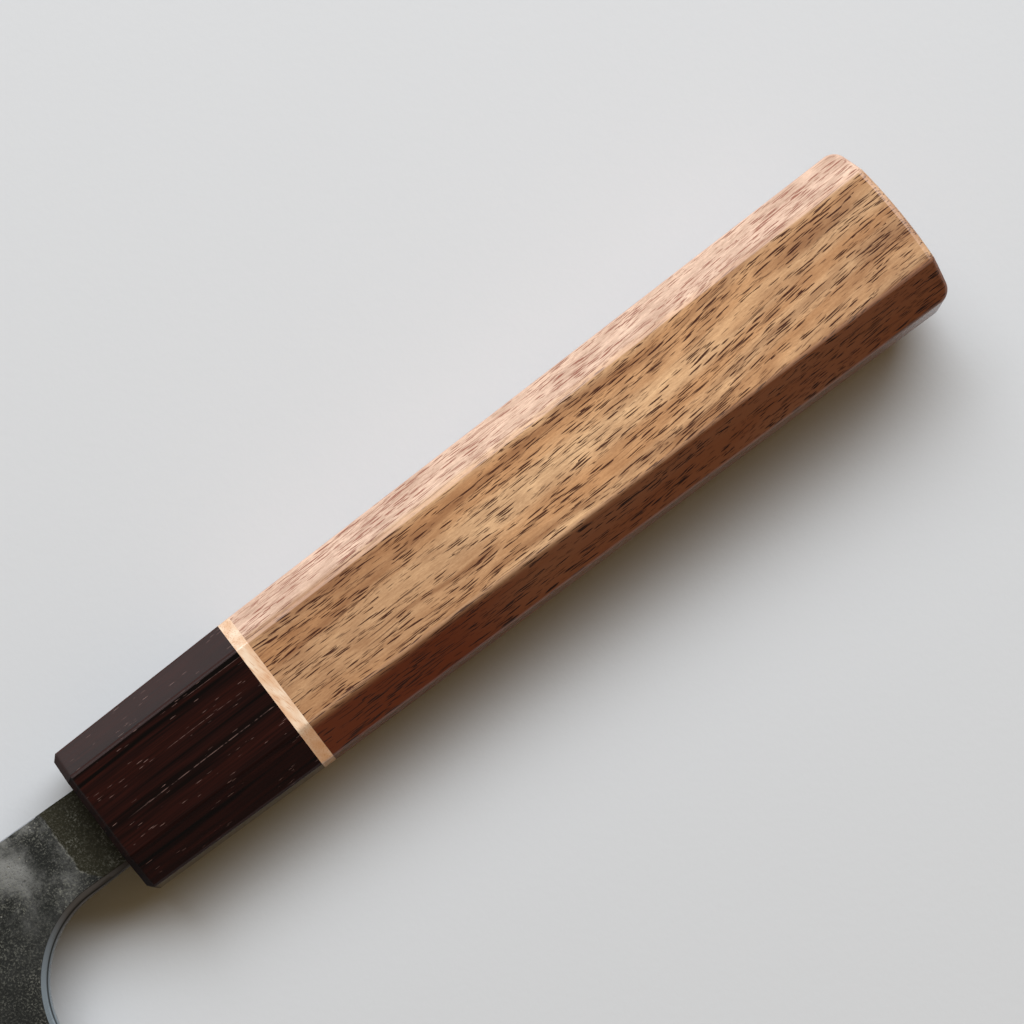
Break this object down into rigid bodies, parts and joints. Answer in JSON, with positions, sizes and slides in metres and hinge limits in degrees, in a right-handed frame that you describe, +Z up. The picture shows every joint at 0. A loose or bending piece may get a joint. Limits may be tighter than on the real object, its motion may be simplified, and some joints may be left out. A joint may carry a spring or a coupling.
{
  "type": "nakiri knife",
  "caption": "Vegetable knife with a straight, blunt-ended forged blade and an octagonal wooden handle with a dark ferrule and a pale spacer ring, lying on its side.",
  "frame": {"origin": "on the table, under the middle of the knife's outline", "axes": "+X along the handle from the blade towards the butt, +Y from the cutting edge towards the spine, +Z up from the table on which the knife lies on its right side"},
  "size_m": [0.3158, 0.0558, 0.0256],
  "materials": {
    "core_steel": "ground and polished, bright towards the edge",
    "forged_steel": "dark grey forge scale with a fine grain on the flats, satin ground steel on the bevels and the choil",
    "dark_wood": "very dark reddish hardwood under satin lacquer",
    "pale_wood": "cream hardwood under satin lacquer",
    "brown_wood": "brown open-pored hardwood under satin lacquer",
    "dowel_wood": "plain turned beech, hidden",
    "resin": "dark epoxy resin, matt"
  },
  "bodies": {
    "root": {"core_steel": "core_steel", "left_cladding": "forged_steel", "right_cladding": "forged_steel", "ferrule": "dark_wood", "spacer": "pale_wood", "handle_body": "brown_wood", "dowel": "dowel_wood", "tang_bedding": "resin"}
  },
  "joints": []
}
